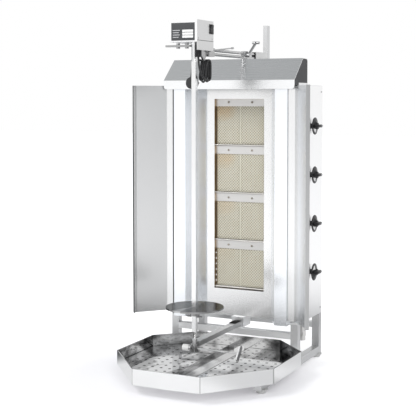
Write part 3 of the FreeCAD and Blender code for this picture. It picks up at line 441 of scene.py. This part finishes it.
# Heat has browned the edges round the burners.
window_edge = depth > 0.1632
heated = window_edge * (0.6 + 0.5 * frame_steel.noise((40, 40, 14), 4.0))
frame_tone = frame_steel.mix(frame_steel.lines, grey(0.84), grey(0.89))
frame_steel.feed("Base Color", frame_steel.mix(heated, frame_tone, (0.42, 0.27, 0.12)))
dress(frame_steel, "burner_frame")
reflector_steel = brushed("reflector_steel", (900, 900, 4), 0.22)
across, depth, up = reflector_steel.axes()
# Painted reflection: the right reflector's slant is painted darker, for the darker side of the room that it
# faces and mirrors.
slanted = (across > 0.0) * (depth > 0.0835)
reflector_tone = reflector_steel.mix(reflector_steel.lines, grey(0.95, -0.02), grey(0.98, -0.02))
reflector_steel.feed("Base Color", reflector_steel.mix(slanted, reflector_tone, grey(0.80, -0.02)))
dress(reflector_steel, "reflector_left", "reflector_right")
screw_steel = polished_steel("screw_steel", 0.55, 0.25)
dark_screw = polished_steel("dark_screw", 0.26, 0.3, 0.12)


def dome_screw(name, center, axis, radius, body, finish=screw_steel):
    """Low domed head with a cross recess pressed into it."""
    axis = Vector(axis).normalized()
    side = axis.orthogonal().normalized()
    other = axis.cross(side)
    work = bmesh.new()
    bmesh.ops.create_uvsphere(work, u_segments=24, v_segments=12, radius=1.0)
    bmesh.ops.delete(work, geom=[v for v in work.verts if v.co.z < -0.01], context="VERTS")
    for vertex in work.verts:
        u, v = vertex.co.x, vertex.co.y
        in_cross = min(abs(u), abs(v)) < 0.14 and max(abs(u), abs(v)) < 0.6
        height = vertex.co.z * 0.5 - (0.22 if in_cross and vertex.co.z > 0.4 else 0.0)
        vertex.co = Vector(center) + side * u * radius + other * v * radius + axis * height * radius
    return smooth(worked(name, work, finish, body), 50)


def block(name, low, high, finish, body, edge):
    """Box between two corners, with its edges rounded off."""
    work = bmesh.new()
    bmesh.ops.create_cube(work, size=1.0)
    size = Vector(high) - Vector(low)
    for vertex in work.verts:
        vertex.co = Vector(low) + Vector(((vertex.co.x + 0.5) * size.x, (vertex.co.y + 0.5) * size.y,
                                          (vertex.co.z + 0.5) * size.z))
    bmesh.ops.bevel(work, geom=work.edges[:], offset=min(edge, 0.45 * min(size)), segments=3, profile=0.5,
                    affect="EDGES")
    return smooth(worked(name, work, finish, body), 40)


side_low, side_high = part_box("side_panel_right")
screw_inset = 0.02
back_inset = 0.012
for i, (y, z) in enumerate(((side_high.y - back_inset, side_high.z - screw_inset),
                            (side_high.y - back_inset, side_low.z + screw_inset),
                            (side_low.y + screw_inset, side_high.z - screw_inset),
                            (side_low.y + screw_inset, side_low.z + screw_inset))):
    for side, name in ((1, "right"), (-1, "left")):
        dome_screw("panel_screw_%s_%d" % (name, i), (side * side_high.x, y, z), (side, 0, 0), 0.0035, "stand")

# Wings: side shields folded from the same satin sheet, with a lip along the free edge.
# They hang on short steel pins in lugs at the top and bottom of the cabinet's front corners.
wing_steel = Finish("wing_steel", grey(0.84), 0.26, 1.0)
across, depth, up = wing_steel.axes()
lines = wing_steel.noise((900, 900, 4), 3.0)
# Painted shade: the lip is painted darker than the sheet it is folded from.
lip = abs(across) > 0.3035
wing_tone = wing_steel.mix(lines, grey(0.82), grey(0.86))
wing_steel.feed("Base Color", wing_steel.mix(lip, wing_tone, grey(0.58)))
wing_steel.feed("Roughness", 0.25 + 0.02 * lines)
wing_steel.bump(lines, 0.006, 0.0002)
dress(wing_steel, "wing_left", "wing_right")
zinc = brushed_steel("zinc", 0.42, (300, 300, 300), 0.34)
dress(zinc, "wing_pivots")

# Hood: one bright sheet bent over the top of the cabinet, over a flue liner painted near-black as painted shade
# for the hood's dark inside.
# The folds are sharp, and the front strip has rounded lower corners.
dress(brushed_steel("hood_steel", 0.92, (5, 900, 900), 0.24, 0.02), "hood")
# Painted shade: the liner is painted near-black for the shade inside the hood.
liner_shade_black = mottled("liner_shade_black", (30, 30, 12), 5.0, (0.010, 0.011, 0.013), (0.032, 0.032, 0.036), 0.3,
                      0.25, 0.6)
dress(liner_shade_black, "flue_liner")

# Burners: pale porous ceramic tiles, two to a burner, in zinc plated housings. Heat stains the upper left of
# each pair orange-brown. A steel header strip with two dark screws holds them, above a bright flame rod.
tile_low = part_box("burner_tiles")[0]
burner_pitch = 0.16125
pore_pitch = 0.0096
ceramic = Finish("ceramic", (0.66, 0.61, 0.47), 0.9)
across, depth, up = ceramic.axes()


def wave(value, period):
    return value.calc("SINE", value * (2 * math.pi / period))


lattice = wave(across, pore_pitch) * wave(up, pore_pitch)
pores = lattice > 0.2
clay = ceramic.noise((60, 60, 60), 5.0)
tile_part = up.calc("FRACT", (up - tile_low.z) / burner_pitch)
stain_across = abs(across + 0.066) / 0.055
stain_up = abs(tile_part - 0.72) / 0.26
stain = 1.0 - (stain_across * stain_across + stain_up * stain_up)
stain = stain.calc("MAXIMUM", stain, 0.0) * (up * 1.3 - 0.3) * (0.1 + clay)
fired = ceramic.mix(clay, (0.61, 0.575, 0.465), (0.71, 0.69, 0.60))
burnt_edge = across < -0.0862
stained = ceramic.mix(stain.calc("MINIMUM", stain, 0.5), fired, (0.66, 0.42, 0.18))
stained = ceramic.mix(burnt_edge * 0.75, stained, (0.30, 0.20, 0.09))
# Painted shade: the pores of the lattice are painted dark brown, for the shade inside them.
ceramic.feed("Base Color", ceramic.mix(pores * 0.72, stained, (0.17, 0.14, 0.08)))
ceramic.bump(1.0 - pores, 0.5, 0.0008)
dress(ceramic, "burner_tiles")
header_steel = brushed_steel("header_steel", 0.64, (6, 900, 900), 0.4, 0.04, 0.015)
dress(header_steel, "burner_headers")
dress(polished_steel("rod_steel", 0.50, 0.2), "guide_rods", "pull_rod")
dress(polished_steel("flame_rod_steel", 0.52, 0.35, 0.03), "flame_rods")
housing_zinc = brushed_steel("housing_zinc", 0.55, (60, 60, 60), 0.45, 0.08, 0.01)
dress(housing_zinc, "burner_housings", "gearmotor")
header_low, header_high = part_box("burner_headers")
joint_cement = mottled("joint_cement", 800, 3.0, (0.62, 0.60, 0.50), (0.80, 0.78, 0.68), 0.9)
joint_half = 0.0016
header_screw_x = 0.043
header_screw_drop = 0.0135
for i in range(4):
    for side in (-1, 1):
        place = (side * header_screw_x, header_low.y, header_high.z - header_screw_drop - i * burner_pitch)
        dome_screw("header_screw_%d_%d" % (i, side + 1), place, (0, -1, 0), 0.0034, "stand", dark_screw)
    base = tile_low.z + (3 - i) * burner_pitch
    block("tile_joint_%d" % i, (-joint_half, tile_low.y - 0.0003, base + 0.001),
          (joint_half, tile_low.y + 0.002, base + 0.131), joint_cement, "stand", 0.0002)

# Gas line: cast brass manifold and valves, nickel plated where they show below the cabinet.
# They hang inside the right panel, and each spindle carries a knob.
brass = mottled("brass", 220, 4.0, (0.62, 0.61, 0.59), (0.80, 0.79, 0.78), 0.22, 0.2, 1.0, (0.15, 0.0004))
dress(brass, "gas_manifold", "gas_valves")

# Knobs: moulded in black heat-proof plastic, with a white crescent printed on the skirt and a light tip.
# Each clips on its valve's spindle.
black_plastic = Finish("black_plastic", (0.018, 0.018, 0.019), 0.34)
grain = black_plastic.noise((1500, 1500, 1500), 2.0)
smudge = black_plastic.noise((40, 40, 40), 3.0)
black_plastic.feed("Base Color", black_plastic.mix(smudge, (0.014, 0.014, 0.015), (0.026, 0.026, 0.028)))
black_plastic.feed("Roughness", 0.28 + 0.14 * smudge)
black_plastic.bump(grain, 0.12, 0.0002)
black_plastic.feed("Specular IOR Level", 0.25)
dress(black_plastic, "knob_1", "knob_2", "knob_3", "knob_4", "rocker_switch", "cable_gland", "guide_bush")
white_print = mottled("white_print", 900, 3.0, (0.80, 0.80, 0.79), (0.88, 0.88, 0.87), 0.45)
tip_grey = mottled("tip_grey", 900, 3.0, (0.50, 0.50, 0.51), (0.60, 0.60, 0.61), 0.4)


def height_at(radius, profile):
    """Height of a turned profile at a radius, on its outer side."""
    for (r0, h0), (r1, h1) in zip(profile, profile[1:]):
        if r1 <= radius <= r0 and r0 > r1:
            return h0 + (h1 - h0) * (r0 - radius) / (r0 - r1)
    return profile[-1][1]


def crescent(name, center, profile, middle, body):
    """Crescent printed on a knob's skirt, round the middle angle."""
    steps, rows = 24, 4
    outer = 0.0215
    ink = 0.0003
    vertices = []
    for i in range(steps + 1):
        share = i / steps
        angle = middle + math.radians(-34 + 68 * share)
        width = 0.0085 * math.sin(math.pi * share) + 0.0004
        for row in range(rows + 1):
            reach = outer - width * row / rows
            vertices.append((center.x + height_at(reach, profile) + ink,
                             center.y + reach * math.cos(angle), center.z + reach * math.sin(angle)))
    faces = []
    for i in range(steps):
        for row in range(rows):
            a = i * (rows + 1) + row
            faces.append((a, a + 1, a + rows + 2, a + rows + 1))
    return piece(name, vertices, faces, white_print, body)


skirt = [(0.0040, 0.0002), (0.0270, 0.0002), (0.0283, 0.0008), (0.0288, 0.0016), (0.0284, 0.0025),
         (0.0272, 0.0030), (0.0230, 0.0037), (0.0190, 0.0047), (0.0155, 0.0062), (0.0128, 0.0082),
         (0.0112, 0.0105), (0.0104, 0.0130), (0.0090, 0.0136), (0.0020, 0.0136)]
collar = [(0.0075, 0.0), (0.0088, 0.0), (0.0088, 0.0095), (0.0080, 0.0102), (0.0075, 0.0102)]
for i in range(1, 5):
    knob = "knob_%d" % i
    low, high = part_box(knob)
    hub = Vector((low.x, (low.y + high.y) / 2, (low.z + high.z) / 2))
    turned = lathe("knob_skirt_%d" % i, skirt, hub, (1, 0, 0), black_plastic, knob, 64, 24)
    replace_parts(turned, knob)
    block("knob_grip_%d" % i, hub + Vector((0.0050, -0.0205, -0.0050)),
          hub + Vector((0.0225, 0.0205, 0.0050)), black_plastic, knob, 0.0036)
    block("knob_tip_%d" % i, hub + Vector((0.0215, 0.0060, -0.0022)),
          hub + Vector((0.0240, 0.0175, 0.0022)), tip_grey, knob, 0.0009)
    crescent("knob_mark_%d" % i, hub, skirt, math.radians(125 if i == 4 else -125), knob)
    lathe("knob_collar_%d" % i, collar, (side_high.x, hub.y, hub.z), (1, 0, 0), black_plastic, "stand",
          32)

# Spit: a square bar of bright steel with a turned tip, a round meat plate on a cross pin, and a coupling.
# The bar drops into the bearing cup below, and the coupling takes it up to the motor.
spit_y = -0.1765
dress(polished_steel("spit_steel", 0.86, 0.2), "spit_bar", "drive_coupling")


def away(first, second):
    """Distance from the axis of two places."""
    return first.calc("SQRT", first * first + second * second)


plate_steel = Finish("plate_steel", grey(0.50), 0.1, 1.0)
across, depth, up = plate_steel.axes()
radius = away(across, depth - spit_y)
turning = wave(radius, 0.0011)
plate_marks = plate_steel.noise((40, 40, 40), 4.0)
# Painted reflection: the turned face is painted dark grey, as if mirroring dark surroundings, with a painted
# highlight band on one side of the spit.
plate_highlight_band = abs(across / radius + 0.22) < 0.16
plate_tone = plate_steel.mix(plate_marks, grey(0.24), grey(0.32))
plate_steel.feed("Base Color", plate_steel.mix(plate_highlight_band, plate_tone, grey(0.52)))
plate_steel.feed("Specular Tint", (0.50, 0.505, 0.51, 1))
plate_steel.feed("Roughness", 0.06 + 0.10 * plate_marks)
plate_steel.bump(turning + plate_marks, 0.05, 0.0002)
dress(plate_steel, "meat_plate")
dress(zinc, "support_pin", "clamp_yoke", "clamp_lever", "handle_bolts", "lock_shaft", "lock_lever")

# Lower carriage: a square steel arm that slides in a steel guide. A thin near-black strip on the arm's top, in
# front of the guide, is painted shade.
# It carries the spit's bearing cup at its end. A cross shaft with a white knob and a flat lever locks it.
dress(brushed_steel("arm_steel", 0.50, (900, 8, 900), 0.3, 0.05), "lower_arm")
dress(polished_steel("hub_steel", 0.55, 0.14), "bearing_hub")
black_paint = mottled("black_paint", 500, 3.0, grey(0.014), grey(0.034), 0.68, 0.2, bump=(0.2, 0.0003))
black_paint.feed("Specular IOR Level", 0.05)
dress(brushed_steel("guide_steel", 0.86, (900, 8, 900), 0.3, 0.05), "arm_guide")
arm_low, arm_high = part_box("lower_arm")
guide_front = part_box("arm_guide")[0].y
# Painted shade: this strip stands in for the shade on the arm's top in front of the guide.
shade_strip_length = 0.042
block("guide_shade_strip", (arm_low.x + 0.0005, guide_front - shade_strip_length, arm_high.z + 0.0005),
      (arm_high.x - 0.0005, guide_front + 0.001, arm_high.z + 0.0025), black_paint, "stand",
      0.0004)
white_plastic = mottled("white_plastic", 180, 4.0, (0.76, 0.76, 0.75), (0.84, 0.84, 0.83), 0.3, 0.12)
dress(white_plastic, "lock_knob", "guide_block")

# Column and upper guide: a flat steel upright bolted to the cabinet's back, with a plastic guide block.
# Two ground rods slide through it and carry the motor.
dress(brushed_steel("column_steel", 0.62, (900, 900, 6), 0.32), "column")
column_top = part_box("column")[1].z
back_face = 0.3495
for z in (column_top - 0.27, column_top - 0.523):
    for x in (-0.012, 0.047):
        dome_screw("column_screw_%d_%d" % (round(z * 1000), round(x * 1000)), (x, back_face, z), (0, 1, 0),
                   0.005, "stand")

# Motor carriage: a folded box of satin steel over the gear motor, on a polished bracket clamped to the rods.
# The front carries a bare data plate, the right side a rocker switch, and the left a pull handle.
box_steel = brushed("box_steel", (900, 6, 900), 0.30)
across, depth, up = box_steel.axes()
# Painted shade: the right face, turned from the light, is painted darker.
box_tone = box_steel.mix(box_steel.lines, grey(0.84), grey(0.92))
right_face = across > 0.0468
box_steel.feed("Base Color", box_steel.mix(right_face, box_tone, grey(0.64)))
dress(box_steel, "motor_base", "motor_cover")
dress(polished_steel("bracket_steel", 0.42, 0.2), "carriage_bracket", "handle_bar")
motor_low, motor_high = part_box("motor_cover")
plate_black = mottled("plate_black", 700, 3.0, (0.05, 0.052, 0.055), (0.08, 0.082, 0.086), 0.4)
plate_black.feed("Specular IOR Level", 0.3)
plate_z = (motor_low.z + motor_high.z) / 2 - 0.005
front = motor_low.y
block("data_plate", (-0.039, front - 0.0006, plate_z - 0.0265), (0.039, front - 0.0001, plate_z + 0.0265),
      plate_black, "upper_carriage", 0.0002)
for i in range(3):
    top = plate_z + 0.0055 - i * 0.0085
    block("data_field_%d" % i, (-0.002, front - 0.0009, top - 0.0070), (0.034, front - 0.0005, top),
          white_print, "upper_carriage", 0.0001)
for i in range(4):
    top = plate_z + 0.0050 - i * 0.0068
    line_end = -0.010 - 0.004 * (i % 2)
    block("data_line_%d" % i, (-0.034, front - 0.0009, top - 0.0022), (line_end, front - 0.0005, top),
          tip_grey, "upper_carriage", 0.0001)
block("cover_seam", (0.0471, front + 0.001, 1.0620), (0.0477, motor_high.y - 0.001, 1.0636), plate_black,
      "upper_carriage", 0.0001)
for i, y in enumerate((-0.245, -0.151)):
    for side in (-1, 1):
        dome_screw("cover_screw_%d_%d" % (i, side + 1), (side * 0.0474, y, motor_low.z + 0.006), (side, 0, 0),
                   0.0028, "upper_carriage")

# Rocker switch: black plastic rocker in a black snap-in frame on the right side of the motor box.
# The frame's flange covers the cut edge of the steel.
low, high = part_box("rocker_switch")
rocker = Vector((low.x, (low.y + high.y) / 2, (low.z + high.z) / 2))
half_y, half_z = 0.009, 0.012
flange_y, flange_z = 0.0118, 0.0148
for name, y0, y1, z0, z1 in (("left", -flange_y, -half_y, -flange_z, flange_z),
                             ("right", half_y, flange_y, -flange_z, flange_z),
                             ("low", -half_y, half_y, -flange_z, -half_z),
                             ("high", -half_y, half_y, half_z, flange_z)):
    block("rocker_frame_" + name, rocker + Vector((-0.0002, y0, z0)), rocker + Vector((0.0028, y1, z1)),
          black_plastic, "upper_carriage", 0.0006)

# Mains cord: black rubber lead, 6.2 mm thick, gathered in a hank of five turns with a round moulded plug.
# It leaves a plastic gland under the motor box.
cord_rubber = mottled("cord_rubber", 700, 3.0, (0.011, 0.011, 0.012), (0.028, 0.028, 0.030), 0.38, 0.22,
                      bump=(0.1, 0.0002))
cord_radius = 0.0031
gland = (0.020, -0.1905, 1.015)
route = [gland, (0.020, -0.1905, 1.0012), (0.0192, -0.18002, 0.97593), (0.0184, -0.16067, 0.95657),
         (0.0176, -0.1354, 0.9461), (0.0176, -0.1177, 0.9461)]
hank_x, hank_y, hank_low = 0.0176, -0.1115, 0.9461
hank_run = 0.036
hank_radius = 0.013
hank_step = 0.0065
hank_bend = hank_radius / math.cos(math.radians(15))
turn_hangs = (0.0, -0.0035, 0.002, -0.0055, 0.0)      # height of each turn's lower end
last_turn = len(turn_hangs) - 1
for i, hang in enumerate(turn_hangs):
    x = hank_x - i * hank_step
    lower = hank_low + hank_radius + hang
    upper = hank_low + hank_radius + hank_run
    arcs = [(lower, -165 + 30 * step) for step in range(3 if i == 0 else 0, 6)]
    arcs += [(upper, 15 + 30 * step) for step in range(3 if i == last_turn else 6)]
    for middle, degrees in arcs:
        angle = math.radians(degrees)
        route.append((x, hank_y + hank_bend * math.cos(angle), middle + hank_bend * math.sin(angle)))
# The tail leaves the last turn at its top and drops to the plug.
tail_x = hank_x - last_turn * hank_step
route += [(tail_x, -0.1177, 1.0081), (tail_x, -0.13056, 1.0081), (-0.0168, -0.1417, 1.00167),
          (-0.022, -0.14813, 0.99053), (-0.022, -0.14813, 0.97767)]
curve = bpy.data.curves.new("mains_cord", "CURVE")
curve.dimensions = "3D"
spline = curve.splines.new("NURBS")
spline.points.add(len(route) - 1)
for point, place in zip(spline.points, route):
    point.co = (*place, 1)
spline.order_u = 3
spline.use_endpoint_u = True
spline.resolution_u = 8
curve.bevel_depth = cord_radius
curve.bevel_resolution = 6
curve.use_fill_caps = True
mains_cord = fitted("mains_cord", curve, cord_rubber, "upper_carriage")
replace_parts(mains_cord, "cord_lead", "cord_hank", "cord_tail")
plug_center = Vector((-0.022, -0.14813, 0.93717))
plug_body = [(0.0135, -0.0098), (0.0168, -0.0094), (0.0182, -0.0080), (0.0185, -0.0060), (0.0185, 0.0070),
             (0.0180, 0.0088), (0.0166, 0.0098), (0.0150, 0.0100), (0.0148, 0.0088), (0.0040, 0.0088)]
plug_pieces = [lathe("plug_body", plug_body, plug_center, (0, 1, 0), cord_rubber, "upper_carriage")]
relief = [(0.0058, 0.0), (0.0058, 0.0035)]
for i in range(6):
    height = 0.0040 + 0.0033 * i
    radius = 0.0056 - 0.00028 * i
    relief += [(radius - 0.0009, height), (radius - 0.0009, height + 0.0011), (radius, height + 0.0013),
               (radius - 0.0001, height + 0.0029)]
relief += [(0.0039, 0.0238), (0.0033, 0.0240)]
plug_pieces.append(lathe("plug_relief", relief, plug_center + Vector((0, 0, 0.0165)), (0, 0, 1), cord_rubber,
                         "upper_carriage", 32, 40))
pin_steel = polished_steel("pin_steel", 0.80, 0.18)
pin_profile = [(0.0024, 0.0), (0.0024, 0.0170), (0.0021, 0.0182), (0.0014, 0.0189), (0.0005, 0.0190)]
for side in (-1, 1):
    start = plug_center + Vector((side * 0.0095, 0.0100, 0))
    plug_pieces.append(lathe("plug_pin_%d" % (side + 1), pin_profile, start, (0, 1, 0), pin_steel,
                             "upper_carriage", 24))
    for i in range(4):
        rib = plug_center + Vector((side * 0.0160, 0, -0.0075 + i * 0.0045))
        plug_pieces.append(block("plug_grip_%d_%d" % (side + 1, i), rib + Vector((-0.0018, -0.0072, 0)),
                                 rib + Vector((0.0018, 0.0072, 0.0022)), cord_rubber, "upper_carriage",
                                 0.0008))
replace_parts(plug_pieces[0], "plug")

# Room: a pale floor that runs to a white background, with broad soft lights above and to both sides.
# What the bright steel mirrors is a white studio with grey walls.
floor_size = 40.0
pale = (0.86, 0.86, 0.87)
floor_paint = Finish("floor_paint", pale, 0.85)
floor_paint.feed("Specular IOR Level", 0.0)
across, depth, up = floor_paint.axes()
radius = away(across, depth)
ray = floor_paint.add("ShaderNodeLightPath")
to_camera = Value(floor_paint, ray.socket.node.outputs["Is Camera Ray"])
to_gloss = Value(floor_paint, ray.socket.node.outputs["Is Glossy Ray"])
# Seen straight on, the floor glows from grey under the machine to white further off.
far = away(across + 0.08, depth + 0.20).rise(0.30, 0.85)
# In the steel it mirrors darker in an oval ring, at the left back and, faintly, at the right front.
oval = away(across * 0.62, depth)
ring = oval.rise(0.80, 0.86) * (1.0 - oval.rise(0.94, 1.20))
left_back = ((depth * 0.423 - across * 0.906) / radius).rise(0.75, 0.92)
right_front = ((across * 0.92 - depth * 0.40) / radius).rise(0.86, 0.97)
dim = ring.calc("MAXIMUM", ring * 0.55, left_back)
dim = to_gloss * dim.calc("MAXIMUM", dim, right_front * 0.28)
floor_paint.feed("Base Color", floor_paint.mix(dim, pale, (0.10, 0.105, 0.11)))
near_glow = floor_paint.mix(far, (0.22, 0.215, 0.23), grey(0.66))
mirrored = floor_paint.mix(radius.rise(0.9, 2.2), grey(0.20), grey(0.55))
mirrored = floor_paint.mix(to_gloss * (1.0 - dim), (0, 0, 0), mirrored)
floor_paint.feed("Emission Color", floor_paint.mix(to_camera, mirrored, near_glow))
floor_paint.feed("Emission Strength", 1.0)
floor_mesh = bpy.data.meshes.new("floor")
reach = floor_size / 2
floor_mesh.from_pydata([(-reach, -reach, 0), (reach, -reach, 0), (reach, reach, 0), (-reach, reach, 0)], [],
                       [(0, 1, 2, 3)])
floor = put("floor", floor_mesh)
floor_mesh.materials.append(floor_paint.material)


class Room(Finish):
    """The studio round the object, as a background that depends on the direction."""

    def __init__(self):
        self.world = bpy.data.worlds.new("studio")
        self.world.use_nodes = True
        self.tree = self.world.node_tree

    def toward(self, direction, width):
        """1 in that direction, falling to 0 at the width, as a share of the dot product."""
        at = self.add("ShaderNodeTexCoord", output=0)
        near = self.add("ShaderNodeVectorMath", {"operation": "DOT_PRODUCT"},
                        {0: at, 1: Vector(direction).normalized()}, 1)
        share = (near - (1.0 - width)) / width
        return self.add("ShaderNodeClamp", None, {0: share})


room = Room()
shade = (0.86, 0.865, 0.87)
for direction, width, tone in (((0, 0, 1), 0.55, (0.31, 0.323, 0.33)),             # grey ceiling
                               ((-0.42, -0.91, 0), 0.22, (1.05, 1.05, 1.05)),      # white screen in front
                               ((0.34, 0.94, 0), 0.15, (1.05, 1.05, 1.05)),        # white screen behind
                               ((0.92, -0.40, 0), 0.15, (0.56, 0.57, 0.58)),       # grey walls to the sides
                               ((-0.90, -0.43, 0), 0.12, (0.70, 0.72, 0.74)),
                               ((-0.9, 0.42, 0), 0.25, (0.30, 0.305, 0.31))):
    shade = room.mix(room.toward(direction, width), shade, tone)
seen = room.add("ShaderNodeLightPath", output=0)
room.join(room.tree.nodes["Background"].inputs[0], room.mix(seen, shade, (1.0, 1.0, 1.0)))
bpy.context.scene.world = room.world


def soft_light(name, place, target, size, power):
    lamp = bpy.data.lights.new(name, "AREA")
    lamp.shape = "RECTANGLE"
    lamp.size = lamp.size_y = size
    lamp.energy = power
    item = put(name, lamp)
    item.location = place
    item.rotation_euler = (Vector(target) - Vector(place)).to_track_quat("-Z", "Y").to_euler()
    return item


middle = Vector((0, 0, 0.55))
lights = [soft_light("key_light", (-1.6, -2.8, 3.4), middle, 1.6, 60),
          soft_light("fill_light", (2.4, -3.2, 2.6), middle, 1.6, 45)]
camera = bpy.data.cameras.new("camera")
camera.lens = 89.88
camera.sensor_width = 36.0
camera.shift_y = -0.126
view = put("camera", camera)
view.location = (1.4045, -3.0317, 0.8902)
view.rotation_euler = (math.radians(86.838), 0, math.radians(25.452))
bpy.context.scene.camera = view
bpy.context.scene.view_settings.view_transform = "Standard"
